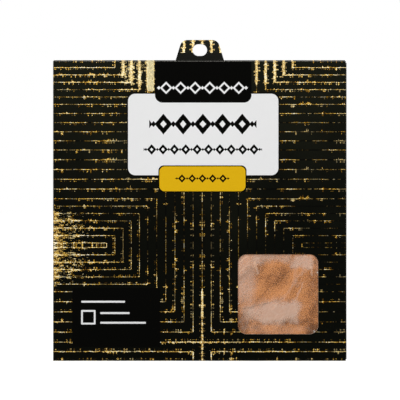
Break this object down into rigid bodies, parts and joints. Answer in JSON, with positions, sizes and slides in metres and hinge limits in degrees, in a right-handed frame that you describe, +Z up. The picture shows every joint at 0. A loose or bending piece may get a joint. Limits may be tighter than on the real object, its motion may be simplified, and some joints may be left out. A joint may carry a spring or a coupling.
{
  "type": "metal leaf booklet",
  "caption": "Flat square hang-sell card envelope with a hang tab, closure flap and square window, holding metal leaf between tissue sheets.",
  "frame": {"origin": "centre of the oval hang hole, at mid-thickness of the tab that leans back a little", "axes": "+X to the right seen from the front, +Y towards the back, +Z up; the printed front faces -Y"},
  "size_m": [0.155, 0.0025, 0.1695],
  "materials": {
    "printed_card": "satin",
    "bare_card": "matte",
    "glue": "satin",
    "metal_leaf": "satin",
    "tissue": "matte"
  },
  "bodies": {
    "envelope": {"front_panel": "printed_card", "left_spine": "printed_card", "right_wall": "printed_card", "bottom_wall": "printed_card", "back_panel": "printed_card", "side_glue_flap": "bare_card", "bottom_glue_flap": "bare_card", "side_glue_line": "glue", "bottom_glue_line": "glue"},
    "hang_tab": {"hang_tab": "printed_card"},
    "top_fold": {"top_fold_left": "printed_card", "top_fold_right": "printed_card"},
    "closure_flap": {"closure_flap": "printed_card", "flap_tack_dots": "glue"},
    "leaf_stack": {"metal_leaf_1": "metal_leaf", "metal_leaf_2": "metal_leaf", "metal_leaf_3": "metal_leaf", "metal_leaf_4": "metal_leaf", "metal_leaf_5": "metal_leaf", "tissue_sheet_1": "tissue", "tissue_sheet_2": "tissue", "tissue_sheet_3": "tissue", "tissue_sheet_4": "tissue", "tissue_sheet_5": "tissue", "tissue_sheet_6": "tissue"}
  },
  "joints": [
    {"name": "tab_fold", "type": "hinge", "parent": "envelope", "child": "hang_tab", "pos_m": [0, -0.00049, -0.00558], "axis": [1, 0, 0], "range_deg": [-85, 95], "stiffness_Nm_per_rad": 0.0001},
    {"name": "top_fold_turn", "type": "hinge", "parent": "envelope", "child": "top_fold", "pos_m": [0, -0.00049, -0.00558], "axis": [1, 0, 0], "range_deg": [0, 90]},
    {"name": "flap_turn", "type": "hinge", "parent": "top_fold", "child": "closure_flap", "pos_m": [0, 0.0016, -0.00558], "axis": [1, 0, 0], "range_deg": [0, 90]},
    {"name": "stack_slide", "type": "slide", "parent": "envelope", "child": "leaf_stack", "axis": [0, 0, 1], "range_m": [0, 0.0125]}
  ]
}
